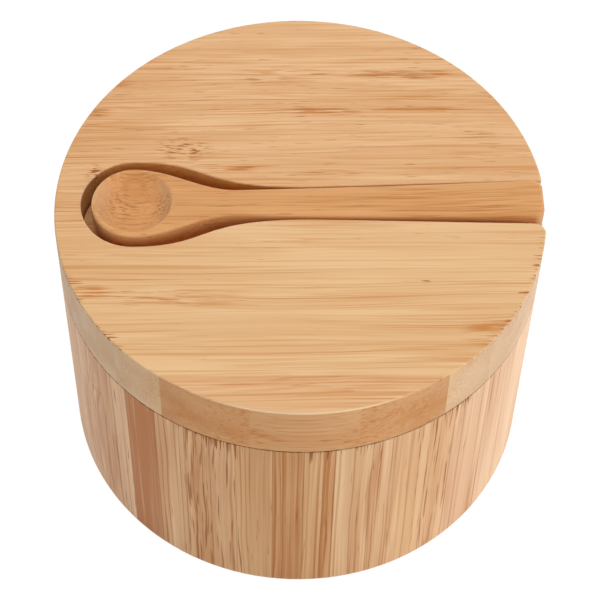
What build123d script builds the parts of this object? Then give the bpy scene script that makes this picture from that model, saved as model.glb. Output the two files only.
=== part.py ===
from build123d import *
import os
from math import atan2, cos, sin

# Round bamboo salt box with a thick lid that swivels on an upright pin, and a small spoon that
# lies flush in a recess in the lid.
# Millimetres, +Z up. The origin is the centre of the base, on the surface that the box stands on.
# +X points to the open end of the spoon slot, and +Y to the pivot pin at the back.

# Box
OUTER_RADIUS = 45.0
WALL = 10.0
BODY_HEIGHT = 50.5
BASE_THICKNESS = 5.5
BASE_LEDGE = 3.0            # how far the base disc reaches under the wall
BASE_SETBACK = 1.5          # the base disc stays this far above the surface
GLUE_GAP = 0.05             # radial room for glue round the base disc
FOOT_ROUND = 2.5            # outer edge that the box stands on
MOUTH_ROUND = 0.6           # inner edge of the rim
SEAM_ROUND = 0.25           # outer edges where the wall meets the lid

# Lid
LID_THICKNESS = 13.0
LID_EDGE_ROUND = 0.3        # top edge, round the rim and round the recess
MOUTH_FRONT_ROUND = 2.0     # upright corner in front, where the slot runs out through the rim
MOUTH_BACK_ROUND = 0.4      # and the one behind

# Pivot pin
PIN_RADIUS = 2.0
PIN_DEPTH_IN_WALL = 16.0
PIN_HEIGHT_IN_LID = 8.0
PIN_CHAMFER = 0.4
PIN_RUNNING_CLEARANCE = 0.05
PIN_END_CLEARANCE = 0.3

# Magnets
CLOSURE_MAGNET_RADIUS = 3.0
CLOSURE_MAGNET_THICKNESS = 3.0
SPOON_MAGNET_RADIUS = 2.0
SPOON_MAGNET_THICKNESS = 2.0
SPOON_MAGNET_X = 27.0
MAGNET_CLEARANCE = 0.05     # radial room for glue in each magnet pocket

# Spoon
SPOON_THICKNESS = 6.9       # at the bowl and the neck
HANDLE_RISE = 0.85          # how far the top curves up from the neck to the handle's end
BOWL_RADIUS = 7.75
SHOULDER_LENGTH = 18.9      # from the middle of the bowl to the neck
SHOULDER_EASE = 6.6         # how long the shoulder curve keeps its first and last direction
NECK_HALF_WIDTH = 3.0
HANDLE_END_HALF_WIDTH = 4.15
HANDLE_END_ROUND = 1.2      # corners of the handle's end, seen from above
HANDLE_END_INSET = 0.5      # from the handle's end to the rim of the lid
TOP_EDGE_ROUND = 0.5
UNDER_EDGE_ROUND = 1.8
DISH_RADIUS = 7.0
DISH_DEPTH = 3.5

# Recess in the lid
RECESS_DEPTH = 6.5
RECESS_MARGIN = 4.8         # wood left between the rim and the bowl end of the recess
RECESS_OFFSET = 0.35        # the middle line of the recess runs this far behind the lid's centre
BOWL_GAP = 1.9              # finger room round the bowl
NECK_GAP = 0.75             # room on each side of the neck
HANDLE_GAP = 0.9            # room on each side of the handle's end
RECESS_TURN = -0.15         # degrees that the recess turns about its bowl end, seen from above
RECESS_SHOULDER_LENGTH = 35.3
RECESS_BOWL_EASE = 15.0
RECESS_NECK_EASE = 25.0
SLOT_RUN_OUT = 5.0          # how far the slot's sides run on past the rim

# Picking edges to round
SAME_PLACE = 0.001          # an edge this close to a place lies there

# Worked out from the sizes above
INNER_RADIUS = OUTER_RADIUS - WALL
WALL_MIDDLE = OUTER_RADIUS - WALL / 2
FLOOR_Z = BASE_SETBACK + BASE_THICKNESS
LID_TOP = BODY_HEIGHT + LID_THICKNESS
RECESS_FLOOR = LID_TOP - RECESS_DEPTH
RECESS_BOWL_RADIUS = BOWL_RADIUS + BOWL_GAP
BOWL_X = RECESS_MARGIN + RECESS_BOWL_RADIUS - OUTER_RADIUS
NECK_X = BOWL_X + SHOULDER_LENGTH
HANDLE_END_X = OUTER_RADIUS - HANDLE_END_INSET
HANDLE_END_THICKNESS = SPOON_THICKNESS + HANDLE_RISE


def cylinder(radius, bottom, top, x=0.0, y=0.0):
    """Upright cylinder between two heights."""
    middle = (bottom + top) / 2
    return Pos(x, y, middle) * Cylinder(radius, top - bottom)


def edges_at(solid, height):
    """Edges of a solid that lie flat at one height."""
    return solid.edges().filter_by_position(Axis.Z, height - SAME_PLACE, height + SAME_PLACE)


def circles_at(solid, height, radius):
    """Full round edges of one radius at one height."""
    rings = edges_at(solid, height).filter_by(GeomType.CIRCLE)
    return rings.filter_by(lambda edge: abs(edge.radius - radius) < SAME_PLACE)


def spoon_outline(bowl_radius, shoulder, ease_out, ease_in, neck, end_x, end_half):
    """Plan of a spoon: round bowl, curved shoulders, and a handle that widens to a square end."""
    neck_x = BOWL_X + shoulder
    flare = atan2(end_half - neck, end_x - neck_x)
    half = [
        JernArc((BOWL_X - bowl_radius, 0), (0, 1), bowl_radius, -90),
        Bezier((BOWL_X, bowl_radius), (BOWL_X + ease_out, bowl_radius),
               (neck_x - ease_in * cos(flare), neck - ease_in * sin(flare)), (neck_x, neck)),
        Line((neck_x, neck), (end_x, end_half)),
        Line((end_x, end_half), (end_x, 0)),
    ]
    edges = half + [edge.mirror(Plane.XZ) for edge in half]
    return make_face(Wire.combine(edges)[0])


def box_body():
    """Round wall, open at the top, with a rabbet for the base disc underneath."""
    wall = cylinder(OUTER_RADIUS, 0, BODY_HEIGHT) - cylinder(INNER_RADIUS, 0, BODY_HEIGHT)
    wall -= cylinder(INNER_RADIUS + BASE_LEDGE, 0, FLOOR_Z)
    wall = fillet(circles_at(wall, 0, OUTER_RADIUS), FOOT_ROUND)
    wall = fillet(circles_at(wall, BODY_HEIGHT, OUTER_RADIUS), SEAM_ROUND)
    wall = fillet(circles_at(wall, BODY_HEIGHT, INNER_RADIUS), MOUTH_ROUND)
    wall -= cylinder(PIN_RADIUS, BODY_HEIGHT - PIN_DEPTH_IN_WALL, BODY_HEIGHT, y=WALL_MIDDLE)
    wall -= cylinder(CLOSURE_MAGNET_RADIUS + MAGNET_CLEARANCE,
                     BODY_HEIGHT - CLOSURE_MAGNET_THICKNESS, BODY_HEIGHT, y=-WALL_MIDDLE)
    return wall


def base_disc():
    """Disc glued up against the ledge of the rabbet."""
    return cylinder(INNER_RADIUS + BASE_LEDGE - GLUE_GAP, BASE_SETBACK, FLOOR_Z)


def pivot_pin():
    """Straight pin with chamfered ends, pressed into the wall."""
    bottom = BODY_HEIGHT - PIN_DEPTH_IN_WALL
    top = BODY_HEIGHT + PIN_HEIGHT_IN_LID
    pin = cylinder(PIN_RADIUS, bottom, top, y=WALL_MIDDLE)
    ends = circles_at(pin, bottom, PIN_RADIUS) + circles_at(pin, top, PIN_RADIUS)
    return chamfer(ends, PIN_CHAMFER)


def closure_magnet(bottom):
    """Disc magnet at the front of the wall."""
    return cylinder(CLOSURE_MAGNET_RADIUS, bottom, bottom + CLOSURE_MAGNET_THICKNESS,
                    y=-WALL_MIDDLE)


def spoon_magnet(bottom):
    """Small disc magnet under the handle of the spoon."""
    return cylinder(SPOON_MAGNET_RADIUS, bottom, bottom + SPOON_MAGNET_THICKNESS,
                    x=SPOON_MAGNET_X, y=RECESS_OFFSET)


def lid_board():
    """Thick disc with the spoon recess, the pin's blind bore and the magnet pockets."""
    lid = cylinder(OUTER_RADIUS, BODY_HEIGHT, LID_TOP)
    cutter = spoon_outline(RECESS_BOWL_RADIUS, RECESS_SHOULDER_LENGTH, RECESS_BOWL_EASE,
                           RECESS_NECK_EASE, NECK_HALF_WIDTH + NECK_GAP,
                           OUTER_RADIUS + SLOT_RUN_OUT, HANDLE_END_HALF_WIDTH + HANDLE_GAP)
    bowl_end = Pos(BOWL_X, RECESS_OFFSET, RECESS_FLOOR) * Rot(0, 0, RECESS_TURN)
    lid -= bowl_end * Pos(-BOWL_X, 0, 0) * extrude(cutter, RECESS_DEPTH)
    upright = lid.edges().filter_by(Axis.Z).filter_by(lambda edge: edge.center().Z > RECESS_FLOOR)
    front, back = upright.sort_by(Axis.X)[-2:].sort_by(Axis.Y)
    for corner, size in ((front, MOUTH_FRONT_ROUND), (back, MOUTH_BACK_ROUND)):
        nearest = lid.edges().filter_by(Axis.Z).sort_by_distance(corner.center())[0]
        lid = fillet(nearest, size)
    lid = fillet(edges_at(lid, LID_TOP), LID_EDGE_ROUND)
    lid = fillet(circles_at(lid, BODY_HEIGHT, OUTER_RADIUS), SEAM_ROUND)
    lid -= cylinder(PIN_RADIUS + PIN_RUNNING_CLEARANCE, BODY_HEIGHT,
                    BODY_HEIGHT + PIN_HEIGHT_IN_LID + PIN_END_CLEARANCE, y=WALL_MIDDLE)
    lid -= cylinder(CLOSURE_MAGNET_RADIUS + MAGNET_CLEARANCE, BODY_HEIGHT,
                    BODY_HEIGHT + CLOSURE_MAGNET_THICKNESS, y=-WALL_MIDDLE)
    lid -= cylinder(SPOON_MAGNET_RADIUS + MAGNET_CLEARANCE, RECESS_FLOOR - SPOON_MAGNET_THICKNESS,
                    RECESS_FLOOR, x=SPOON_MAGNET_X, y=RECESS_OFFSET)
    return lid


def spoon_side():
    """Side view of the spoon: flat below, level on top as far as the neck, then one long arc up."""
    bowl_end = (BOWL_X - BOWL_RADIUS, SPOON_THICKNESS)
    neck = (NECK_X, SPOON_THICKNESS)
    handle_end = (HANDLE_END_X, HANDLE_END_THICKNESS)
    top = Line(bowl_end, neck) + TangentArc(neck, handle_end, tangent=(1, 0))
    under = Polyline(handle_end, (HANDLE_END_X, 0), (BOWL_X - BOWL_RADIUS, 0), bowl_end)
    return Plane.XZ * make_face(top + under)


def spoon():
    """Spoon cut from one strip, with eased edges and a round dish."""
    plan = spoon_outline(BOWL_RADIUS, SHOULDER_LENGTH, SHOULDER_EASE, SHOULDER_EASE,
                         NECK_HALF_WIDTH, HANDLE_END_X, HANDLE_END_HALF_WIDTH)
    body = extrude(plan, HANDLE_END_THICKNESS)
    body &= extrude(spoon_side(), max(BOWL_RADIUS, HANDLE_END_HALF_WIDTH), both=True)
    body = fillet(body.edges().filter_by(Axis.Z).group_by(Axis.X)[-1], HANDLE_END_ROUND)
    top = body.edges().filter_by_position(Axis.Z, SPOON_THICKNESS - SAME_PLACE,
                                          HANDLE_END_THICKNESS + SAME_PLACE)
    outline = top.filter_by(lambda edge: abs(edge.center().X - NECK_X) > SAME_PLACE)
    body = fillet(outline, TOP_EDGE_ROUND)
    body = fillet(edges_at(body, 0), UNDER_EDGE_ROUND)
    ball = (DISH_RADIUS ** 2 + DISH_DEPTH ** 2) / (2 * DISH_DEPTH)
    body -= Pos(BOWL_X, 0, SPOON_THICKNESS - DISH_DEPTH + ball) * Sphere(ball)
    body -= cylinder(SPOON_MAGNET_RADIUS + MAGNET_CLEARANCE, 0, SPOON_MAGNET_THICKNESS,
                     x=SPOON_MAGNET_X)
    return Pos(0, RECESS_OFFSET, RECESS_FLOOR) * body


PARTS = {
    "box_body": box_body(),
    "base_disc": base_disc(),
    "pivot_pin": pivot_pin(),
    "rim_magnet": closure_magnet(BODY_HEIGHT - CLOSURE_MAGNET_THICKNESS),
    "lid_board": lid_board(),
    "lid_magnet": closure_magnet(BODY_HEIGHT),
    "recess_magnet": spoon_magnet(RECESS_FLOOR - SPOON_MAGNET_THICKNESS),
    "spoon": spoon(),
    "spoon_magnet": spoon_magnet(RECESS_FLOOR),
}

os.makedirs("parts", exist_ok=True)
for node, shape in PARTS.items():
    export_step(shape, f"parts/{node}.step")
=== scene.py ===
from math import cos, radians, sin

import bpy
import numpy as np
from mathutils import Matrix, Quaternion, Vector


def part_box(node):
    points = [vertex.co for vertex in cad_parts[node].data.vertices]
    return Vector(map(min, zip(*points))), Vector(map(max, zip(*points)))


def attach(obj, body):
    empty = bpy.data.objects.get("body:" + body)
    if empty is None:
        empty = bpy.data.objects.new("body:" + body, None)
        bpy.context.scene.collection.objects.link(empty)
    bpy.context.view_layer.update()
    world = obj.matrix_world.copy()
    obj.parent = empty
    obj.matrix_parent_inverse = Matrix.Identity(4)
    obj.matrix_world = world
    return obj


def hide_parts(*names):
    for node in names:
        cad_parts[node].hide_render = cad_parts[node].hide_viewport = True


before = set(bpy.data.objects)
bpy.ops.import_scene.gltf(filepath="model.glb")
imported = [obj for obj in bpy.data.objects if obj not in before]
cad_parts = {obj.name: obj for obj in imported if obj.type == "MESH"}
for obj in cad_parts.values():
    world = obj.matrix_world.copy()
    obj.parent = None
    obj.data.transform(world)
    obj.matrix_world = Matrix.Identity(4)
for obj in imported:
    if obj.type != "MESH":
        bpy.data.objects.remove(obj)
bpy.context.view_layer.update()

# Round bamboo salt box with a lid that swivels on an upright steel pin, and a spoon that lies in a
# recess in the lid. Lengths in this file are millimetres and are turned to metres where a mesh, a
# lamp or the camera is made. +X points to the open end of the spoon slot, +Y to the pivot pin.

MM = 0.001


# ---------------------------------------------------------------- sizes, from the frame

def node_box(node):
    """Lowest and highest corner of a node, in millimetres."""
    low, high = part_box(node)
    return np.array(low) / MM, np.array(high) / MM


BODY_LOW, BODY_HIGH = node_box("box_body")
SPOON_LOW, SPOON_HIGH = node_box("spoon")
OUTER_RADIUS = (BODY_HIGH[0] - BODY_LOW[0]) / 2
SEAM_Z = BODY_HIGH[2]
LID_TOP = node_box("lid_board")[1][2]
RECESS_FLOOR = SPOON_LOW[2]
BOWL_RADIUS = (SPOON_HIGH[1] - SPOON_LOW[1]) / 2
BOWL_X = SPOON_LOW[0] + BOWL_RADIUS
SPOON_MIDDLE = (SPOON_HIGH[1] + SPOON_LOW[1]) / 2
DISH_RADIUS = 7.05
DISH_SHIFT = 0.3            # how far the dish lies behind the middle of the bowl
DISH_Y = SPOON_MIDDLE + DISH_SHIFT


# ---------------------------------------------------------------- shader building blocks

def srgb(red, green, blue):
    """Colour as painters write it, 0 to 255, turned to the linear values that shaders take."""
    parts = np.array([red, green, blue]) / 255
    linear = np.where(parts <= 0.04045, parts / 12.92, ((parts + 0.055) / 1.055) ** 2.4)
    return (*(float(part) for part in linear), 1.0)


class Nodes:
    """Adds nodes to one tree. An input that is a socket is linked, and any other value is set."""

    def __init__(self, tree):
        self.tree = tree

    def add(self, kind, inputs, **settings):
        node = self.tree.nodes.new(kind)
        for name, value in settings.items():
            setattr(node, name, value)
        for key, value in inputs.items():
            if isinstance(value, bpy.types.NodeSocket):
                self.tree.links.new(value, node.inputs[key])
            else:
                node.inputs[key].default_value = value
        return node

    def math(self, operation, first, second=0.0, third=0.0):
        return self.add("ShaderNodeMath", {0: first, 1: second, 2: third},
                        operation=operation).outputs[0]

    def vector(self, operation, first, second=(0, 0, 0)):
        node = self.add("ShaderNodeVectorMath", {0: first, 1: second}, operation=operation)
        return node.outputs["Value" if operation == "LENGTH" else "Vector"]

    def split(self, vector):
        return self.add("ShaderNodeSeparateXYZ", {0: vector}).outputs

    def join(self, x, y, z):
        return self.add("ShaderNodeCombineXYZ", {0: x, 1: y, 2: z}).outputs[0]

    def noise(self, place, stretch, detail=0.0, roughness=0.5):
        """Noise in 0 to 1 with so many waves per millimetre along each axis."""
        scaled = self.vector("MULTIPLY", place, stretch)
        return self.add("ShaderNodeTexNoise", {"Vector": scaled, "Scale": 1.0, "Detail": detail,
                                               "Roughness": roughness}).outputs[0]

    def span(self, value, low, high, out_low=0.0, out_high=1.0):
        """Smooth step from out_low at low to out_high at high."""
        return self.add("ShaderNodeMapRange", {"Value": value, 1: low, 2: high, 3: out_low,
                                               4: out_high},
                        interpolation_type="SMOOTHSTEP").outputs[0]

    def mix(self, share, first, second, blend="MIX"):
        return self.add("ShaderNodeMix", {0: share, 6: first, 7: second}, data_type="RGBA",
                        blend_type=blend).outputs[2]

    def group(self, tree, inputs):
        return self.add("ShaderNodeGroup", inputs, node_tree=tree).outputs


# ---------------------------------------------------------------- bamboo

# streaks along the grain: length and width of a streak in millimetres, and strength
BROAD_STREAKS = ((48.0, 3.0, 0.5), (36.0, 1.4, 0.6))
FINE_STREAKS = ((20.0, 0.65, 0.5), (13.0, 0.34, 0.8), (9.0, 0.2, 0.7))

# length and width of the other marks, in millimetres
CALM_SIZE = (22.0, 3.2)     # areas with many or few fine streaks
TONE_SIZE = (50.0, 6.5)     # slow changes of tone
DASH_SIZE = (5.0, 0.36)     # dark bundles of fibre
SMEAR_SIZE = (9.0, 0.5)     # orange bands in which the bundles lie
LINE_SIZE = (70.0, 0.36)    # long thin lines
FLECK_SIZE = (2.4, 0.36)    # specks where bundles are cut at a slant
TEAR_SIZE = (9.0, 0.24)     # wedges where fibres tore out of an edge

# noise at which a mark begins and at which it is full, and its values there if not 0 and 1
CALM_SPAN = (0.35, 0.65, 0.4, 1.5)
TONE_SPAN = (0.3, 0.7, -1.0, 1.0)
SMEAR_SPAN = (0.42, 0.66)
LINE_SPAN = (0.60, 0.72)
FLECK_SPAN = (0.52, 0.62)
DASH_START = 0.74           # where a strip has no cover of dashes
DASH_COVER = 0.24           # and how much lower where it is all covered
DASH_CONTRAST = 7.0
DASH_ROUGHNESS = 0.6        # strength of the dashes' ragged outline

STRIP_JUMP = (370.0, 53.0, 91.0)        # how far the pattern moves over all the strips
WANDER_WAVES = (0.022, 0.05, 0.05)      # waves per millimetre of the slow bends of the grain
WANDER = 1.6                            # and how many millimetres they span
WAVER_WAVES = (0.1, 0.3, 0.3)           # waves per millimetre of the quick bends
PATCH_CORE = 0.35                       # share of an oval patch that has its full amount

END_TINT = (0.84, 0.93, 1.15, 1.0)      # turns a cut across the grain grey
RECESS_BROWN_AND_SHADE = (0.92, 0.76, 0.45, 1.0)   # turns the recess brown: partly a cutter's burnish, partly painted shade
# dark brown of the painted shade along the seam and at the foot of the recess's walls
SHADE_BROWN = (0.11, 0.032, 0.005, 1.0)
# pale cream of the highlight painted on rounded edges
EDGE_HIGHLIGHT = srgb(255, 226, 178)
FLECK_SHARE = 0.9           # how dark a fleck is beside a dash
FINE_RELIEF = -0.005        # heights of the marks in millimetres
DASH_RELIEF = -0.003
JOINT_RELIEF = -0.01
JOINT_HALF = 0.12           # half the width of a glue line
LEAST_CHANGE = 0.001        # a larger step in the strip's number marks a glue line


def new_group(name, inputs, outputs):
    """Empty shader group with named inputs and outputs, and its Nodes and input sockets."""
    tree = bpy.data.node_groups.new(name, "ShaderNodeTree")
    for label, kind in inputs.items():
        tree.interface.new_socket(name=label, in_out="INPUT", socket_type="NodeSocket" + kind)
    for label, kind in outputs.items():
        tree.interface.new_socket(name=label, in_out="OUTPUT", socket_type="NodeSocket" + kind)
    nodes = Nodes(tree)
    return tree, nodes, nodes.add("NodeGroupInput", {}).outputs


def cells(length, width):
    """Waves per millimetre of a noise whose spots are so long along the grain and so wide."""
    return (1 / length, 1 / width, 1 / width)


def streak_sum(nodes, place, streaks):
    """Sum of noises about 0, one for each length, width and strength."""
    total = 0.0
    for length, width, strength in streaks:
        band = nodes.math("SUBTRACT", nodes.noise(place, cells(length, width)), 0.5)
        total = nodes.math("MULTIPLY_ADD", band, strength, total)
    return total


def fibre_group():
    """Bamboo as a solid pattern, with X along the grain: bundles of fibre are dots across the
    grain and streaks along it. Cover is the share of wood that the dark bundles take, and Waver
    is how far in millimetres the streaks waver."""
    tree, nodes, given = new_group(
        "bamboo_fibres",
        {"Place": "Vector", "Cover": "Float", "Shift": "Float", "Waver": "Float"},
        {"Tone": "Float", "Broad": "Float", "Fine": "Float", "Dash": "Float", "Smear": "Float",
         "Line": "Float", "Fleck": "Float", "Tear": "Float"})
    jump = nodes.vector("MULTIPLY", nodes.join(given["Shift"], given["Shift"], given["Shift"]),
                        STRIP_JUMP)
    place = nodes.vector("ADD", given["Place"], jump)
    wander = nodes.math("MULTIPLY_ADD", nodes.noise(place, WANDER_WAVES), WANDER, -WANDER / 2)
    waver = nodes.math("MULTIPLY_ADD", nodes.noise(place, WAVER_WAVES), given["Waver"], wander)
    place = nodes.vector("ADD", place, nodes.join(0.0, waver, 0.0))
    calm = nodes.span(nodes.noise(place, cells(*CALM_SIZE)), *CALM_SPAN)
    bundles = nodes.noise(place, cells(*DASH_SIZE), 1.0, DASH_ROUGHNESS)
    start = nodes.math("MULTIPLY_ADD", given["Cover"], -DASH_COVER, DASH_START)
    dash = nodes.math("MULTIPLY", nodes.math("SUBTRACT", bundles, start), DASH_CONTRAST)
    nodes.add("NodeGroupOutput", {
        "Tone": nodes.span(nodes.noise(place, cells(*TONE_SIZE), 1.0), *TONE_SPAN),
        "Broad": streak_sum(nodes, place, BROAD_STREAKS),
        "Fine": nodes.math("MULTIPLY", streak_sum(nodes, place, FINE_STREAKS), calm),
        "Dash": nodes.span(dash, 0.0, 1.0),
        "Smear": nodes.span(nodes.noise(place, cells(*SMEAR_SIZE), 1.0), *SMEAR_SPAN),
        "Line": nodes.span(nodes.noise(place, cells(*LINE_SIZE)), *LINE_SPAN),
        "Fleck": nodes.span(nodes.noise(place, cells(*FLECK_SIZE), 1.0), *FLECK_SPAN),
        "Tear": nodes.noise(place, cells(*TEAR_SIZE))})
    return tree


def patch_group():
    """Amount inside an oval patch, falling smoothly to 0 at its rim."""
    tree, nodes, given = new_group(
        "patch", {"Place": "Vector", "Centre": "Vector", "Half": "Vector", "Amount": "Float"},
        {"Mask": "Float"})
    offset = nodes.vector("DIVIDE", nodes.vector("SUBTRACT", given["Place"], given["Centre"]),
                          given["Half"])
    inside = nodes.span(nodes.vector("LENGTH", offset), PATCH_CORE, 1.0, 1.0, 0.0)
    nodes.add("NodeGroupOutput", {"Mask": nodes.math("MULTIPLY", inside, given["Amount"])})
    return tree


def bamboo_group():
    """Colour and relief of bamboo from its fibres: pale wood that turns to Tan where Dark and the
    streaks are high, multiplied by Tint as far as Tinted says, with darker dashes and flecks.
    End greys a cut across the grain. The other three inputs brown the recess, partly as a cutter's
    burnish and partly as painted shade; paint a pale highlight on rounded edges; and paint shade
    dark brown along the seam and at the foot of the recess's walls."""
    tree, nodes, given = new_group(
        "bamboo_colour",
        {"Pale": "Color", "Tan": "Color", "Fibre": "Color", "Tint": "Color", "Dark": "Float",
         "Tinted": "Float", "Broad": "Float", "Fine": "Float", "Line": "Float", "Dash": "Float",
         "Fleck": "Float", "End": "Float", "Highlight": "Float", "RecessBrownAndShade": "Float", "Joint": "Float",
         "PaintedShade": "Float"},
        {"Color": "Color", "Height": "Float"})
    depth = given["Dark"]
    for streak in ("Broad", "Fine", "Line"):
        depth = nodes.math("ADD", depth, given[streak])
    depth = nodes.math("MINIMUM", nodes.math("MAXIMUM", depth, 0.0), 1.0)
    colour = nodes.mix(depth, given["Pale"], given["Tan"])
    turned = nodes.mix(1.0, colour, given["Tint"], "MULTIPLY")
    colour = nodes.mix(given["Tinted"], colour, turned)
    fleck = nodes.math("MULTIPLY", given["Fleck"], FLECK_SHARE)
    dark = nodes.math("MAXIMUM", nodes.math("MAXIMUM", given["Dash"], fleck), given["Joint"])
    colour = nodes.mix(dark, colour, given["Fibre"])
    # grey end grain, then the recess's brown, which is partly painted shade
    for share, tint in (("End", END_TINT), ("RecessBrownAndShade", RECESS_BROWN_AND_SHADE)):
        turned = nodes.mix(1.0, colour, tint, "MULTIPLY")
        colour = nodes.mix(given[share], colour, turned)
    # painted highlight on rounded edges, then painted shade along the seam and at the recess's
    # foot
    colour = nodes.mix(given["Highlight"], colour, EDGE_HIGHLIGHT)
    colour = nodes.mix(given["PaintedShade"], colour, SHADE_BROWN)
    height = nodes.math("MULTIPLY", given["Fine"], FINE_RELIEF)
    height = nodes.math("MULTIPLY_ADD", given["Dash"], DASH_RELIEF, height)
    height = nodes.math("MULTIPLY_ADD", given["Joint"], JOINT_RELIEF, height)
    nodes.add("NodeGroupOutput", {"Color": colour, "Height": height})
    return tree


FIBRES = fibre_group()
PATCH = patch_group()
BAMBOO = bamboo_group()


def patches_sum(nodes, place, patches):
    """Sum of the masks of oval patches, each (along, across, through, three halves, amount)."""
    total = 0.0
    for patch in patches:
        mask = nodes.group(PATCH, {"Place": place, "Centre": patch[0:3], "Half": patch[3:6],
                                   "Amount": patch[6]})[0]
        total = nodes.math("ADD", mask, total)
    return total


def strip_ramp(nodes, across, strips, first_value):
    """Ramp over the width of the board with one flat stop for each glued strip. Its colour holds
    three of the strip's values, from first_value on, and its alpha the strip's number."""
    spot = nodes.add("ShaderNodeMapRange", {"Value": across, 1: -OUTER_RADIUS,
                                            2: OUTER_RADIUS}).outputs[0]
    ramp = nodes.add("ShaderNodeValToRGB", {0: spot})
    ramp.color_ramp.interpolation = "CONSTANT"
    stops = ramp.color_ramp.elements
    for count, strip in enumerate(strips):
        position = max(0.0, (strip[0] + OUTER_RADIUS) / (2 * OUTER_RADIUS))
        stop = stops[count] if count < 2 else stops.new(position)
        stop.position = position
        stop.color = (*strip[first_value:first_value + 3], count / len(strips))
    return ramp.outputs


def strip_values(nodes, across, strips):
    """Looks up the glued strip that a place lies in: darkness, share of tint, fibre cover,
    fineness, its number, and 1 on the glue line between two strips."""
    here = strip_ramp(nodes, across, strips, 1)
    fine = strip_ramp(nodes, across, strips, 2)
    left = strip_ramp(nodes, nodes.math("ADD", across, -JOINT_HALF), strips, 1)
    right = strip_ramp(nodes, nodes.math("ADD", across, JOINT_HALF), strips, 1)
    colour = nodes.add("ShaderNodeSeparateColor", {0: here[0]}).outputs
    fineness = nodes.add("ShaderNodeSeparateColor", {0: fine[0]}).outputs[2]
    change = nodes.math("SUBTRACT", right["Alpha"], left["Alpha"])
    joint = nodes.math("GREATER_THAN", nodes.math("ABSOLUTE", change), LEAST_CHANGE)
    return colour[0], colour[1], colour[2], fineness, here["Alpha"], joint


# ---------------------------------------------------------------- wear and painted light on the bamboo

# values of a normal's upright part between which a face turns level, steep, rounded and so on
LEVEL_SPAN = (0.4, 0.9)
STEEP_SPAN = (0.9, 0.99, 1.0, 0.0)
ROUNDED_SPAN = (0.75, 0.98, 1.0, 0.0)
UPWARD_SPAN = (0.45, 0.75)
BENT_SPAN = (0.86, 0.99, 1.0, 0.0)

# values of its part along the grain between which the fibres count as cut
END_SPAN = (0.25, 0.8)      # for the grey of end grain
CROSS_SPAN = (0.12, 0.5)    # for marks, which are weaker there
CROSS_LOSS = 0.75

TEAR_LEVEL = 0.76           # noise above which fibres tore out at an edge
TEAR_RISE = 0.24            # and how much higher that is where the wedges end
TEAR_SPAN = (0.0, 0.1)      # how far above it a wedge begins and is full
SEAM_TEAR = 5.0             # how far wedges reach down the wall from the seam
RIM_TEAR = 2.0              # and in from the rim of the lid
RIM_TEAR_DROP = 0.5         # and down from the lid's top

SEAM_SPAN = (0.05, 0.25, 1.0, 0.0)      # distances from the seam over which the painted shade on its edges fades
SEAM_LEAST = 0.5            # how dark that shade stays where no band of fibres runs in
FOOT_SHADE_REACH = 2.6          # how far the painted shade at the foot of the recess's walls reaches up from its floor
# how dark that painted shade is at the floor
FOOT_SHADE = 0.8

RECESS_RADIUS = OUTER_RADIUS - 0.5      # the recess's brown and painted shade reach out to here
RECESS_TOP = LID_TOP - 0.35             # and up to here
RECESS_LOW = RECESS_FLOOR - 0.2         # and down to here
FLOOR_BROWN_AND_SHADE = 0.4          # how much of that brown and shade its floor gets beside its walls
BACK_SPAN = (0.0, 0.3)      # a highlight is painted on a lid edge where its normal points so far back
RIM_SPAN = (9.0, 22.0, 1.0, 0.0)        # and at the rim, up to so far left and right of X = 0

TOP_SPAN = (LID_TOP - 0.6, LID_TOP - 0.1)       # heights over which the spoon's top edge begins
HANDLE_SPAN = (-16.0, 4.0)  # where the highlight painted on its handle's edge begins, along X
BOWL_SPAN = (-24.0, -15.0, 1.0, 0.0)    # and where the highlight painted on the edge of its bowl ends
BEHIND_SPAN = (0.0, 0.2)    # the highlight is painted where its normal points so far back
BEHIND_SLANT = 0.4          # and sooner where it points to the left as well


def from_axis(nodes, axes):
    """Distance from the upright line through the middle of the box."""
    return nodes.vector("LENGTH", nodes.join(axes[0], axes[1], 0.0))


def torn_edge(nodes, teeth, depth, length, share):
    """Wedges where fibres tore out of an edge: widest at the edge and gone at a depth of length.
    share is how much of the edge they take."""
    need = nodes.math("MULTIPLY_ADD", depth, TEAR_RISE / length, TEAR_LEVEL)
    need = nodes.math("MULTIPLY_ADD", share, -TEAR_RISE, need)
    return nodes.span(nodes.math("SUBTRACT", teeth, need), *TEAR_SPAN)


def torn_wall(nodes, axes, teeth, share):
    """Wedges that run down the wall from the seam."""
    return torn_edge(nodes, teeth, nodes.math("SUBTRACT", SEAM_Z, axes[2]), SEAM_TEAR, share)


def torn_rim(nodes, axes, teeth, share):
    """Wedges that run in from the rim of the lid's top."""
    depth = nodes.math("SUBTRACT", OUTER_RADIUS, from_axis(nodes, axes))
    torn = torn_edge(nodes, teeth, depth, RIM_TEAR, share)
    return nodes.math("MULTIPLY", torn,
                      nodes.math("GREATER_THAN", axes[2], LID_TOP - RIM_TEAR_DROP))


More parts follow.
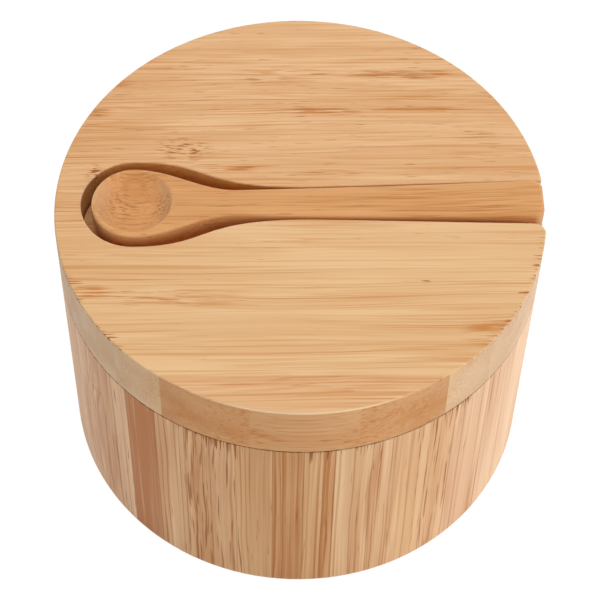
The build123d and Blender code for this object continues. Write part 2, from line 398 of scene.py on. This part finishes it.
def lid_shade_and_highlight(nodes, axes, normal, tilt, steep):
    """How brown a place on the lid is inside the recess, partly a cutter's brown and partly
    painted shade, and how strongly a pale highlight is painted on it, on the rounded edges of the
    top."""
    inside = nodes.math("LESS_THAN", from_axis(nodes, axes), RECESS_RADIUS)
    high = nodes.math("GREATER_THAN", axes[2], RECESS_TOP)
    below = nodes.math("SUBTRACT", 1.0, high)
    above = nodes.math("GREATER_THAN", axes[2], RECESS_LOW)
    recess_brown_and_shade = nodes.math("MULTIPLY", nodes.math("MULTIPLY", inside, below), above)
    recess_brown_and_shade = nodes.math("MULTIPLY", recess_brown_and_shade,
                        nodes.math("MULTIPLY_ADD", steep, 1 - FLOOR_BROWN_AND_SHADE, FLOOR_BROWN_AND_SHADE))
    rounded = nodes.span(tilt, *ROUNDED_SPAN)
    back = nodes.span(normal[1], *BACK_SPAN)
    rim = nodes.math("MULTIPLY", nodes.math("SUBTRACT", 1.0, inside),
                     nodes.span(nodes.math("ABSOLUTE", axes[0]), *RIM_SPAN))
    painted_highlight = nodes.math("MULTIPLY", nodes.math("MULTIPLY", high, rounded),
                      nodes.math("MAXIMUM", back, rim))
    return recess_brown_and_shade, painted_highlight


def spoon_highlight(nodes, axes, normal):
    """1 where a pale highlight is painted on the spoon's rounded top edge where it looks back,
    along the handle and round the bowl outside the dish."""
    bent = nodes.math("MULTIPLY", nodes.span(normal[2], *UPWARD_SPAN),
                      nodes.span(normal[2], *BENT_SPAN))
    high = nodes.span(axes[2], *TOP_SPAN)
    from_dish = nodes.vector("LENGTH", nodes.join(nodes.math("SUBTRACT", axes[0], BOWL_X),
                                                  nodes.math("SUBTRACT", axes[1], DISH_Y), 0.0))
    bowl = nodes.math("MULTIPLY", nodes.math("GREATER_THAN", from_dish, DISH_RADIUS),
                      nodes.span(axes[0], *BOWL_SPAN))
    handle = nodes.span(axes[0], *HANDLE_SPAN)
    slant = nodes.math("MULTIPLY", normal[0], BEHIND_SLANT)
    behind = nodes.span(nodes.math("SUBTRACT", normal[1], slant), *BEHIND_SPAN)
    edge_highlight = nodes.math("MULTIPLY", nodes.math("MAXIMUM", handle, bowl), behind)
    return nodes.math("MULTIPLY", nodes.math("MULTIPLY", bent, high), edge_highlight)


def painted_shade_edges(nodes, height, smear, recess_brown_and_shade, steep):
    """Painted shade: ragged dark edges along the seam, and a dark foot of the recess's walls."""
    ragged = nodes.math("MULTIPLY_ADD", smear, 1 - SEAM_LEAST, SEAM_LEAST)
    off_seam = nodes.math("ABSOLUTE", nodes.math("SUBTRACT", height, SEAM_Z))
    seam = nodes.math("MULTIPLY", nodes.span(off_seam, *SEAM_SPAN), ragged)
    foot = nodes.span(height, RECESS_FLOOR, RECESS_FLOOR + FOOT_SHADE_REACH, FOOT_SHADE, 0.0)
    foot = nodes.math("MULTIPLY", foot, recess_brown_and_shade)
    return nodes.math("MULTIPLY", nodes.math("MAXIMUM", seam, foot), steep)


# ---------------------------------------------------------------- bamboo materials

WOOD_ROUGHNESS = 0.5
WOOD_SPECULAR = 0.12
GLUE = 0.4                  # darkness of a glue line, and how much more where bands cross it
GLUE_SMEAR = 0.5


def bamboo(name, palette, grain, strips, run=1.0, girth=1.0, waver=0.1, flames=0.0, clusters=(),
           flecks=(), tans=(), tears=(), face_share=1.0, joints=0.0, recessed=False, edge_highlight=0.0):
    """Material of laminated bamboo. grain names the object's axes that lie along the grain, across
    the strips and through them. run and girth stretch the fibres along and across, waver bends
    them, and flames bends them more inside clusters. clusters, flecks and tans are ovals with more
    dashes, more flecks or darker wood, where a tan with an amount below 0 is lighter, and tears
    are those where an edge is torn. face_share is how far the strips differ on level faces, and
    joints is how dark the glue lines are. recessed is true for the lid: its recess is brown,
    partly a cutter's brown and partly painted shade, with more painted shade at the foot of its
    walls; a pale highlight is painted on the rounded edges of its top; and its rim is torn. The
    last argument is how strongly a pale highlight is painted on the spoon's rounded top edge where
    it looks back, on the bowl and on the handle."""
    material = bpy.data.materials.new(name)
    material.use_nodes = True
    nodes = Nodes(material.node_tree)
    coordinates = nodes.add("ShaderNodeTexCoord", {}).outputs
    axes = nodes.split(nodes.vector("MULTIPLY", coordinates["Object"], (1 / MM,) * 3))
    normal = nodes.split(coordinates["Normal"])
    tilt = nodes.math("ABSOLUTE", normal[2])
    steep = nodes.span(tilt, *STEEP_SPAN)
    cut = nodes.math("ABSOLUTE", normal[grain[0]])
    lengthwise = nodes.math("MULTIPLY_ADD", nodes.span(cut, *CROSS_SPAN), -CROSS_LOSS, 1.0)

    along, across, through = (axes[axis] for axis in grain)
    place = nodes.join(along, across, through)
    darkness, tinted, cover, fineness, shift, joint = strip_values(nodes, across, strips)
    thick = patches_sum(nodes, place, clusters)
    fibres = nodes.group(FIBRES, {
        "Place": nodes.vector("MULTIPLY", place, (1 / run, 1 / girth, 1 / girth)),
        "Cover": nodes.math("ADD", cover, thick), "Shift": shift,
        "Waver": nodes.math("MULTIPLY_ADD", thick, flames, waver)})
    smear = nodes.math("MULTIPLY", nodes.math("MULTIPLY", fibres["Smear"], thick), lengthwise)
    share = nodes.math("MULTIPLY_ADD", nodes.span(tilt, *LEVEL_SPAN), face_share - 1.0, 1.0)
    darkness = nodes.math("MULTIPLY", darkness, share)
    for more in (patches_sum(nodes, place, tans), palette["base"], smear):
        darkness = nodes.math("ADD", darkness, more)
    darkness = nodes.math("MULTIPLY_ADD", fibres["Tone"], palette["tone"], darkness)

    # painted highlight on rounded edges, the recess's brown and painted shade, and torn fibres
    painted_highlight = recess_brown_and_shade = torn = 0.0
    if recessed:
        recess_brown_and_shade, painted_highlight = lid_shade_and_highlight(nodes, axes, normal, tilt, steep)
    # a pale highlight painted on the spoon's rounded top edge
    if edge_highlight:
        painted_highlight = nodes.math("MULTIPLY", spoon_highlight(nodes, axes, normal), edge_highlight)
    if tears:
        tear = torn_rim if recessed else torn_wall
        torn = tear(nodes, axes, fibres["Tear"], patches_sum(nodes, place, tears))
    fleck = nodes.math("MULTIPLY", fibres["Fleck"], patches_sum(nodes, place, flecks))
    glue = nodes.math("MULTIPLY_ADD", fibres["Smear"], GLUE_SMEAR * joints, GLUE * joints)
    inputs = {
        "Pale": palette["pale"], "Tan": palette["tan"], "Fibre": palette["fibre"],
        "Tint": palette["tint"], "Dark": darkness, "Tinted": nodes.math("ADD", tinted, smear),
        "End": nodes.span(cut, *END_SPAN), "Highlight": painted_highlight, "RecessBrownAndShade": recess_brown_and_shade,
        "Joint": nodes.math("MULTIPLY", joint, glue),
        # painted shade along the seam and at the foot of the recess's walls
        "PaintedShade": painted_shade_edges(nodes, axes[2], fibres["Smear"], recess_brown_and_shade, steep),
        "Fleck": nodes.math("MAXIMUM", fleck, torn)}
    for mark, key, weaker in (("Broad", "broad", lengthwise), ("Fine", "fine", fineness),
                              ("Dash", "dash", lengthwise), ("Line", "line", lengthwise)):
        strength = nodes.math("MULTIPLY", weaker, palette[key])
        inputs[mark] = nodes.math("MULTIPLY", fibres[mark], strength)
    looks = nodes.group(BAMBOO, inputs)

    bsdf = material.node_tree.nodes["Principled BSDF"]
    bump = nodes.add("ShaderNodeBump", {"Height": looks["Height"], "Distance": MM,
                                        "Strength": 1.0}).outputs[0]
    material.node_tree.links.new(looks["Color"], bsdf.inputs["Base Color"])
    material.node_tree.links.new(bump, bsdf.inputs["Normal"])
    bsdf.inputs["Roughness"].default_value = WOOD_ROUGHNESS
    bsdf.inputs["Specular IOR Level"].default_value = WOOD_SPECULAR
    return material


# colours, darkness of the whole piece, and strengths of the marks
LID_PALETTE = {"pale": srgb(249, 205, 153), "tan": srgb(212, 140, 68), "base": 0.19,
               "fibre": srgb(176, 104, 48), "tint": (1.0, 0.93, 0.98, 1.0), "tone": 0.12,
               "broad": 0.42, "fine": 0.65, "line": 0.34, "dash": 0.5}
BODY_PALETTE = {"pale": srgb(252, 208, 153), "tan": srgb(200, 127, 67), "base": 0.16,
                "fibre": srgb(160, 84, 32), "tint": (0.97, 1.02, 1.28, 1.0), "tone": 0.16,
                "broad": 0.6, "fine": 0.75, "line": 0.4, "dash": 0.75}
SPOON_PALETTE = {"pale": srgb(236, 175, 116), "tan": srgb(194, 118, 52), "base": 0.20,
                 "fibre": srgb(156, 92, 44), "tint": (1.0, 0.92, 0.90, 1.0), "tone": 0.20,
                 "broad": 0.6, "fine": 0.75, "line": 0.25, "dash": 0.6}

# each strip: its first edge across the grain, darkness, share of tint, fibre cover, fineness
LID_STRIPS = (
    (-45.0, 0.30, 0.5, 0.15, 0.6), (-44.1, 0.52, 0.5, 0.15, 0.6), (-37.3, 0.05, 0.0, 0.20, 0.8),
    (-30.5, 0.05, 0.0, 0.10, 0.5), (-23.7, 0.02, 0.0, 0.15, 0.6), (-16.9, 0.05, 0.0, 0.12, 0.7),
    (-10.1, 0.05, 0.1, 0.20, 0.8), (-3.3, 0.08, 0.3, 0.25, 0.8), (3.5, 0.08, 0.4, 0.45, 0.8),
    (10.3, 0.05, 0.5, 0.45, 0.9), (17.1, 0.08, 0.5, 0.50, 1.0), (23.9, 0.10, 0.5, 0.50, 1.0),
    (30.7, 0.06, 0.5, 0.45, 1.0), (37.5, 0.10, 0.5, 0.35, 0.9), (44.3, 0.10, 0.5, 0.3, 0.9))
# on the body the strips near both sides, below x = -27 and above x = 27 mm, take the most tint and
# turn paler and greyer: partly their own colour and partly a painted sheen where the wall turns
# away from the front
BODY_STRIPS = (
    (-45.0, 0.16, 0.9, 0.25, 0.6), (-35.0, 0.24, 0.8, 0.50, 0.8), (-32.1, 0.70, 1.0, 0.30, 0.9),
    (-27.0, 0.14, 0.5, 0.25, 0.8), (-21.6, 0.28, 0.2, 0.80, 0.8), (-17.1, 0.03, 0.3, 0.60, 0.5),
    (-12.4, 0.12, 0.2, 0.40, 0.6), (-5.8, 0.46, 0.1, 0.3, 0.8), (0.0, 0.10, 0.1, 0.35, 1.1),
    (3.4, 0.36, 0.1, 0.4, 1.0), (5.6, 0.06, 0.4, 0.2, 0.6), (12.3, 0.08, 0.5, 0.30, 0.6),
    (16.2, 0.14, 0.3, 0.40, 0.7), (22.6, 0.04, 0.4, 0.65, 0.4), (27.3, 0.12, 0.9, 0.2, 0.6),
    (34.0, 0.02, 1.0, 0.15, 0.5))
# the spoon lies in one strip, and the second is there because a ramp has at least two stops
SPOON_STRIPS = ((-45.0, 0.0, 0.0, 0.3, 1.0), (44.0, 0.0, 0.0, 0.3, 1.0))

# ovals: middle along, across and through the grain, three halves, and amount
LID_CLUSTERS = (
    (20, 31, 64, 13, 1.8, 9, 0.8), (-3, 31, 64, 14, 3.0, 9, 0.45), (5, 22, 64, 9, 1.6, 9, 0.65),
    (22, 22.5, 64, 16, 0.8, 9, 0.45), (-38, 22, 64, 5, 1.5, 9, 0.6), (-33, 29, 64, 6, 1.2, 9, 0.5),
    (-12, 8.5, 64, 9, 1.5, 9, 0.6), (4, 7, 64, 8, 1.5, 9, 0.5), (33, 16, 64, 6, 1.2, 9, 0.5),
    (-38, -19.3, 64, 6, 1.8, 3, 0.8), (-24, -20.5, 64, 17, 3.2, 9, 0.5),
    (34, -28.5, 64, 8, 4.5, 3, 0.55), (0, -39, 64, 24, 3.0, 3, 0.3))
LID_FLECKS = ((-21.5, 13, 64, 7.0, 3.6, 9, 1.0), (22, -17.6, 64, 1.2, 0.5, 9, 1.0),
              (-38.2, 7.6, 64, 2.0, 2.6, 9, 1.2))
LID_TANS = ((-48, 12, 64, 40, 40, 40, 0.12), (5, 14, 64, 50, 22, 30, 0.04))
LID_TEARS = ((-41, -18, 64, 7, 7, 9, 0.9), (-34, -29, 64, 9, 8, 9, 0.75),
             (37, -24, 64, 11, 12, 9, 0.85), (43, -12, 64, 5, 9, 9, 0.8))
# on the spoon the first oval darkens the near half of the handle towards its end, and the second,
# with an amount below 0, is a pale highlight painted on the bowl's front edge
SPOON_TONE_AND_HIGHLIGHT_OVALS = ((32, -2.6, 63, 24, 2.6, 9, 0.30), (-31, -9, 63, 9, 3.0, 9, -0.25),
              (-16, 0, 63, 14, 10, 9, 0.10), (20, 2, 63, 36, 10, 9, -0.15))
SPOON_FLECKS = ((-32.6, 1.4, 60, 4.5, 5.0, 9, 0.5), (-25.2, 0.6, 60, 2.4, 5.0, 9, 0.5))
BODY_CLUSTERS = ((34, -17, -42, 17, 6.5, 20, 0.18), (14, -15, -42, 15, 6.0, 20, 0.10),
                 (30, 12, -43, 22, 5.0, 20, 0.12), (22, -38, -22, 24, 5.0, 20, 0.30),
                 (22, 25, -37, 26, 4.5, 20, 0.10))
BODY_TEARS = ((50, -15, -42, 20, 7.0, 20, 1.3), (50, 3, -45, 20, 6.0, 20, 0.9),
              (50, 11, -43, 20, 4.0, 20, 0.9), (50, 28, -35, 20, 4.0, 20, 1.0),
              (50, -22, -39, 20, 5.0, 20, 0.8))

WOODS = {
    "box_body": bamboo("bamboo_box", BODY_PALETTE, (2, 0, 1), BODY_STRIPS, run=2.4, girth=1.25,
                       clusters=BODY_CLUSTERS, tears=BODY_TEARS, joints=0.6, waver=0.5,
                       flames=4.0),
    "base_disc": bamboo("bamboo_base", LID_PALETTE, (0, 1, 2), LID_STRIPS),
    "lid_board": bamboo("bamboo_lid", LID_PALETTE, (0, 1, 2), LID_STRIPS, clusters=LID_CLUSTERS,
                        flecks=LID_FLECKS, tans=LID_TANS, tears=LID_TEARS, face_share=0.25,
                        recessed=True),
}
SPOON_WOOD = bamboo("bamboo_spoon", SPOON_PALETTE, (0, 1, 2), SPOON_STRIPS, run=1.5,
                    flecks=SPOON_FLECKS, tans=SPOON_TONE_AND_HIGHLIGHT_OVALS, edge_highlight=0.55)


# ---------------------------------------------------------------- metal

MARK_SPAN = (0.4, 0.7)      # noise at which a mark begins and at which it is full
MARK_DETAIL = 2.0
MARK_TINT = (0.8, 0.8, 0.79, 1.0)
MARK_ROUGHNESS = 0.15       # how much rougher the metal is in a mark


def metal(name, colour, roughness, marks):
    """Bare metal with fine marks: marks is the count of marks per millimetre along each axis. The
    marks darken the colour a little and scatter the light."""
    material = bpy.data.materials.new(name)
    material.use_nodes = True
    nodes = Nodes(material.node_tree)
    coordinates = nodes.add("ShaderNodeTexCoord", {}).outputs
    place = nodes.vector("MULTIPLY", coordinates["Object"], (1 / MM,) * 3)
    looks = nodes.group(MARKS, {"Place": nodes.vector("MULTIPLY", place, marks), "Metal": colour,
                                "Base": roughness})
    bsdf = material.node_tree.nodes["Principled BSDF"]
    bsdf.inputs["Metallic"].default_value = 1.0
    material.node_tree.links.new(looks["Color"], bsdf.inputs["Base Color"])
    material.node_tree.links.new(looks["Roughness"], bsdf.inputs["Roughness"])
    return material


def marks_group():
    """Colour and roughness of a metal with marks where a noise is high."""
    tree, nodes, given = new_group(
        "metal_marks", {"Place": "Vector", "Metal": "Color", "Base": "Float"},
        {"Color": "Color", "Roughness": "Float"})
    mark = nodes.span(nodes.noise(given["Place"], (1.0, 1.0, 1.0), MARK_DETAIL), *MARK_SPAN)
    marked = nodes.mix(1.0, given["Metal"], MARK_TINT, "MULTIPLY")
    nodes.add("NodeGroupOutput", {
        "Color": nodes.mix(mark, given["Metal"], marked),
        "Roughness": nodes.math("MULTIPLY_ADD", mark, MARK_ROUGHNESS, given["Base"])})
    return tree


MARKS = marks_group()
STEEL = metal("ground_steel", srgb(206, 206, 204), 0.28, (0.4, 0.4, 9.0))
NICKEL = metal("nickel_plate", srgb(216, 212, 205), 0.18, (1.2, 1.2, 1.2))
METALS = {"pivot_pin": STEEL, "rim_magnet": NICKEL, "lid_magnet": NICKEL,
          "recess_magnet": NICKEL, "spoon_magnet": NICKEL}


# ---------------------------------------------------------------- spoon

SPOON_THICKNESS = 6.9       # at the bowl and the neck
HANDLE_RISE = 0.85          # how far the top curves up from the neck to the handle's end
SHOULDER_LENGTH = 18.9      # from the middle of the bowl to the neck
SHOULDER_EASE = 6.6         # length of the shoulder curve's two handles
NECK_HALF_WIDTH = 3.0
HANDLE_END_HALF_WIDTH = 4.15
HANDLE_END_ROUND = 1.7      # corners of the handle's end, seen from above
CORNER_EASE = 0.7           # how much further the top edge is rounded at these corners
CORNER_REACH = 3.0          # and how far from a corner that reaches
CORNER_NEAR = 0.5           # and how near to it that is full
DISH_DEPTH = 3.4
LIP_SHARPNESS = 9.0         # larger values make the dish's edge crisper
LIP_WIDTH = 1.0             # breadth of the dish's edge, which has closer rings
DISH_MIDDLE = 0.2           # radius of the dish's smallest ring
HANDLE_CROWN = 0.2          # how far the handle's sides lie below its middle line
CROWN_START = 9.0           # from the middle of the bowl to where the crown begins
CROWN_FULL = 22.0
EDGE_ROUND = 0.55           # rounding of the top edge along the handle
EDGE_ROUND_LEAST = 0.25     # and where the dish comes close to the edge
EDGE_SHARE = 0.85           # share of the room beside the dish that the rounding takes
WALL_DEPTH = 2.7            # from the top to where the side begins to curve under
BOWL_UNDERCUT = 3.6         # how far the underside curves in below the bowl
HANDLE_UNDERCUT = 1.6
SMALL_HALF_WIDTH = 0.5      # the crown counts the ends as no narrower than this

# counts of points on each stretch of the half outline, and of rings on each part of the skin
BOWL_POINTS, SHOULDER_POINTS, SIDE_POINTS, CORNER_POINTS, END_POINTS = 64, 72, 64, 24, 6
DISH_RINGS, LIP_RINGS, TOP_RINGS, EDGE_RINGS, WALL_RINGS, UNDER_RINGS, FOOT_RINGS = (
    20, 10, 25, 8, 4, 12, 7)
TOP_SPREAD = 0.8            # below 1, the top's rings lie closer together at its edge


def smooth_step(values, low, high):
    """0 below low, 1 above high, and a smooth rise between them."""
    share = np.clip((values - low) / (high - low), 0, 1)
    return share * share * (3 - 2 * share)


def steps(count, end=1.0):
    """Even steps from 0 up to end, without the 0."""
    return np.linspace(0, end, count + 1)[1:]


def spoon_half_outline():
    """One side of the spoon's plan, from the tip of the bowl to the middle of the handle's end: a
    quarter circle, a cubic Bezier shoulder, a straight side that widens, and a round corner."""
    turn = np.linspace(0, np.pi / 2, BOWL_POINTS, endpoint=False)
    bowl = np.stack([BOWL_X - BOWL_RADIUS * np.cos(turn), BOWL_RADIUS * np.sin(turn)], 1)
    neck = np.array([BOWL_X + SHOULDER_LENGTH, NECK_HALF_WIDTH])
    corner = np.array([SPOON_HIGH[0], HANDLE_END_HALF_WIDTH])
    flare = (corner - neck) / np.hypot(*(corner - neck))
    controls = np.array([(BOWL_X, BOWL_RADIUS), (BOWL_X + SHOULDER_EASE, BOWL_RADIUS),
                         neck - SHOULDER_EASE * flare, neck])
    t = np.linspace(0, 1, SHOULDER_POINTS, endpoint=False)[:, None]
    weights = np.hstack([(1 - t) ** 3, 3 * t * (1 - t) ** 2, 3 * t ** 2 * (1 - t), t ** 3])
    shoulder = weights @ controls
    side_end = corner - HANDLE_END_ROUND * flare
    share = np.linspace(0, 1, SIDE_POINTS, endpoint=False)[:, None]
    side = neck + share * (side_end - neck)
    turn = np.linspace(0, np.pi / 2, CORNER_POINTS)[:, None]
    centre = corner - HANDLE_END_ROUND
    round_end = centre + HANDLE_END_ROUND * np.hstack([np.sin(turn), np.cos(turn)])
    blunt = np.stack([np.full(END_POINTS, corner[0]),
                      np.linspace(centre[1], 0, END_POINTS + 1)[1:]], 1)
    return np.vstack([bowl, shoulder, side, round_end, blunt])


def closed_mesh(name, rings):
    """Mesh of a stack of rings of equal length, with a point at each end: the rings are joined by
    quads and the ends by fans, so that the skin is closed."""
    count, length = rings.shape[:2]
    ring = np.arange(count - 1)[:, None] * length
    here = np.arange(length)[None, :]
    there = (here + 1) % length
    quads = np.stack([ring + here, ring + there, ring + length + there, ring + length + here], -1)
    points = np.vstack([rings.reshape(-1, 3), rings[0].mean(0), rings[-1].mean(0)])
    first, last = count * length, count * length + 1
    here, there = here[0], there[0]
    start = np.stack([np.full(length, first), there, here], -1)
    foot = (count - 1) * length
    finish = np.stack([np.full(length, last), foot + here, foot + there], -1)
    mesh = bpy.data.meshes.new(name)
    mesh.from_pydata((points * MM).tolist(), [],
                     quads.reshape(-1, 4).tolist() + start.tolist() + finish.tolist())
    mesh.polygons.foreach_set("use_smooth", np.ones(len(mesh.polygons), bool))
    mesh.update()
    piece = bpy.data.objects.new(name, mesh)
    bpy.context.scene.collection.objects.link(piece)
    return piece


def make_spoon():
    """Spoon as rings round the dish. The plan's points P(s) give every ring the same columns: the
    dish's rings are circles in the directions of P(s), the next ones go in straight lines from
    the dish's edge to P(s) moved in by the edge rounding, and the rest run over the rounded edge,
    down the side, in under the belly and to a point below. The top is a plane with a spherical
    dish, and on the handle a parabola across, lower at both sides."""
    half = spoon_half_outline()
    plan = np.vstack([half, half[-2:0:-1] * (1, -1)])
    plan[:, 1] += SPOON_MIDDLE
    along = np.roll(plan, -1, 0) - np.roll(plan, 1, 0)
    along /= np.hypot(along[:, 0], along[:, 1])[:, None]
    inward = np.stack([along[:, 1], -along[:, 0]], 1)
    dish = np.array([BOWL_X, DISH_Y])
    reach = np.hypot(*(plan - dish).T)
    toward = (plan - dish) / reach[:, None]
    edge = np.clip(EDGE_SHARE * (reach - DISH_RADIUS), EDGE_ROUND_LEAST, EDGE_ROUND)
    corner = np.hypot(SPOON_HIGH[0] - plan[:, 0],
                      HANDLE_END_HALF_WIDTH - np.abs(plan[:, 1] - SPOON_MIDDLE))
    inset = edge + CORNER_EASE * smooth_step(-corner, -CORNER_REACH, -CORNER_NEAR)
    belly = smooth_step(plan[:, 0], BOWL_X, BOWL_X + SHOULDER_LENGTH)
    under = BOWL_UNDERCUT + belly * (HANDLE_UNDERCUT - BOWL_UNDERCUT)
    bottom = SPOON_LOW[2]
    ball = (DISH_RADIUS ** 2 + DISH_DEPTH ** 2) / (2 * DISH_DEPTH)

    def middle_line(x):
        """Height of the top's middle line: level to the neck, then a parabola up to the end."""
        neck = BOWL_X + SHOULDER_LENGTH
        along_handle = np.maximum((x - neck) / (SPOON_HIGH[0] - neck), 0)
        return bottom + SPOON_THICKNESS + HANDLE_RISE * along_handle ** 2

    def top_height(spots):
        """Height of the top at spots, before its edge is rounded."""
        top = middle_line(spots[..., 0])
        across = np.abs(spots[..., 1] - SPOON_MIDDLE)
        crown = smooth_step(spots[..., 0] - BOWL_X, CROWN_START, CROWN_FULL)
        half_width = np.interp(spots[..., 0], half[:, 0],
                               np.maximum(half[:, 1], SMALL_HALF_WIDTH))
        sag = HANDLE_CROWN * crown * np.minimum(across / half_width, 1) ** 2
        far = np.hypot(spots[..., 0] - dish[0], spots[..., 1] - dish[1])
        cap = top - DISH_DEPTH + ball - np.sqrt(np.maximum(ball ** 2 - far ** 2, 0))
        cap = np.where(far < DISH_RADIUS, cap, top + far - DISH_RADIUS)
        low = np.logaddexp((top - cap) * LIP_SHARPNESS, 0) / LIP_SHARPNESS
        return top - low - sag

    lip = DISH_RADIUS - LIP_WIDTH
    circles = np.concatenate([np.linspace(DISH_MIDDLE, lip, DISH_RINGS),
                              lip + steps(LIP_RINGS, LIP_WIDTH)])
    flat = [dish + radius * toward for radius in circles]
    inner = plan + inset[:, None] * inward
    flat += [flat[len(circles) - 1] * (1 - share) + inner * share
             for share in steps(TOP_RINGS) ** TOP_SPREAD]
    rings = [np.dstack([spots[None, :, :], top_height(spots)[None, :, None]])[0]
             for spots in flat]
    brow = rings[-1][:, 2]
    for turn in steps(EDGE_RINGS, np.pi / 2):
        spots = plan + (inset * (1 - np.sin(turn)))[:, None] * inward
        rings.append(np.column_stack([spots, brow - edge * (1 - np.cos(turn))]))
    shoulder = rings[-1][:, 2]
    wall_foot = middle_line(plan[:, 0]) - WALL_DEPTH
    for share in steps(WALL_RINGS):
        height = shoulder + share * (wall_foot - shoulder)
        rings.append(np.column_stack([plan, height]))
    for turn in steps(UNDER_RINGS, np.pi / 2):
        spots = plan + (under * (1 - np.cos(turn)))[:, None] * inward
        rings.append(np.column_stack([spots, wall_foot - (wall_foot - bottom) * np.sin(turn)]))
    foot = rings[-1][:, :2]
    for share in steps(FOOT_RINGS + 1)[:-1]:
        spots = foot + share * (dish - foot)
        rings.append(np.column_stack([spots, np.full(len(plan), bottom)]))
    return closed_mesh("carved_spoon", np.array(rings))


# ---------------------------------------------------------------- stage, light and camera

# lengths in millimetres and angles in degrees
CAMERA_AIM = (0.294, 0.368, 32.011)
CAMERA_DISTANCE = 411.8
CAMERA_AZIMUTH = 2.149      # turned from +Y towards +X
CAMERA_ELEVATION = 55.371
CAMERA_ROLL = 1.333
CAMERA_LENS = 126.44
SENSOR_WIDTH = 36.0
CAMERA_NEAR = 10.0          # what lies closer than this isn't drawn


def make_camera():
    """Camera that looks down at the lid from the front."""
    level = cos(radians(CAMERA_ELEVATION))
    looks = Vector((level * sin(radians(CAMERA_AZIMUTH)), level * cos(radians(CAMERA_AZIMUTH)),
                    -sin(radians(CAMERA_ELEVATION))))
    data = bpy.data.cameras.new("camera")
    data.lens = CAMERA_LENS
    data.sensor_width = SENSOR_WIDTH
    data.clip_start = CAMERA_NEAR * MM
    camera = bpy.data.objects.new("camera", data)
    camera.location = (Vector(CAMERA_AIM) - looks * CAMERA_DISTANCE) * MM
    camera.rotation_mode = "QUATERNION"
    roll = Quaternion((0, 0, 1), radians(CAMERA_ROLL))
    camera.rotation_quaternion = looks.to_track_quat("-Z", "Y") @ roll
    bpy.context.scene.collection.objects.link(camera)
    bpy.context.scene.camera = camera


# place in millimetres, width in millimetres and power in watts of each square lamp
LAMPS = {"lamp_top": ((60, 150, 820), 600, 3.5),
         "lamp_right": ((750, -150, 120), 400, 3.4),
         "lamp_left": ((-750, -150, 300), 500, 0.8),
         "lamp_front": ((0, -680, 500), 500, 1.4),
         "lamp_back": ((-100, 900, 260), 400, 1.0)}


def softbox(name, place, width, watts):
    """Square lamp at a place, turned to the middle of the box."""
    data = bpy.data.lights.new(name, "AREA")
    data.shape = "SQUARE"
    data.size = width * MM
    data.energy = watts
    lamp = bpy.data.objects.new(name, data)
    lamp.location = Vector(place) * MM
    aim = Vector((0, 0, SEAM_Z)) * MM
    lamp.rotation_mode = "QUATERNION"
    lamp.rotation_quaternion = (aim - lamp.location).to_track_quat("-Z", "Y")
    bpy.context.scene.collection.objects.link(lamp)


WHITE = (1.0, 1.0, 1.0, 1.0)
WORLD_LIGHT = 0.15          # strength of the white surroundings as a source of light
FLOOR_HALF = 1500.0
FLOOR_GREY = (0.9, 0.9, 0.9, 1.0)
FLOOR_GLOW = 1.06
FLOOR_GLOW_SHARE = 0.93     # the rest of what is seen of the floor takes the shadow


def seen_directly(nodes):
    """1 for camera, mirror and clear-glass rays, 0 for the rays that carry light."""
    path = nodes.add("ShaderNodeLightPath", {}).outputs
    most = nodes.math("MAXIMUM", path["Is Camera Ray"], path["Is Glossy Ray"])
    return nodes.math("MAXIMUM", most, path["Is Transmission Ray"])


def make_world():
    """Surroundings that are seen as white and give less light than that."""
    world = bpy.data.worlds.new("studio")
    world.use_nodes = True
    bpy.context.scene.world = world
    nodes = Nodes(world.node_tree)
    strength = nodes.span(seen_directly(nodes), 0, 1, WORLD_LIGHT, 1.0)
    background = world.node_tree.nodes["Background"]
    background.inputs["Color"].default_value = WHITE
    world.node_tree.links.new(strength, background.inputs["Strength"])


def make_floor():
    """Floor that is seen as white with a shadow on it, and is pale grey to the rays that carry
    light."""
    corners = [(-1, -1), (1, -1), (1, 1), (-1, 1)]
    mesh = bpy.data.meshes.new("floor")
    mesh.from_pydata([(x * FLOOR_HALF * MM, y * FLOOR_HALF * MM, 0) for x, y in corners], [],
                     [(0, 1, 2, 3)])
    floor = bpy.data.objects.new("floor", mesh)
    bpy.context.scene.collection.objects.link(floor)
    material = bpy.data.materials.new("floor_white")
    material.use_nodes = True
    tree = material.node_tree
    tree.nodes.clear()
    nodes = Nodes(tree)
    shade = nodes.add("ShaderNodeBsdfDiffuse", {"Color": FLOOR_GREY}).outputs[0]
    glow = nodes.add("ShaderNodeEmission", {"Color": WHITE, "Strength": FLOOR_GLOW}).outputs[0]
    share = nodes.math("MULTIPLY", seen_directly(nodes), FLOOR_GLOW_SHARE)
    both = nodes.add("ShaderNodeMixShader", {0: share, 1: shade, 2: glow}).outputs[0]
    nodes.add("ShaderNodeOutputMaterial", {"Surface": both})
    mesh.materials.append(material)


for name, material in {**WOODS, **METALS}.items():
    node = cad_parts[name]
    node.data.materials.clear()
    node.data.materials.append(material)

spoon = make_spoon()
spoon.data.materials.append(SPOON_WOOD)
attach(spoon, "spoon")
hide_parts("spoon")

make_camera()
make_world()
make_floor()
for name, (place, width, watts) in LAMPS.items():
    softbox(name, place, width, watts)
bpy.context.scene.view_settings.view_transform = "Standard"
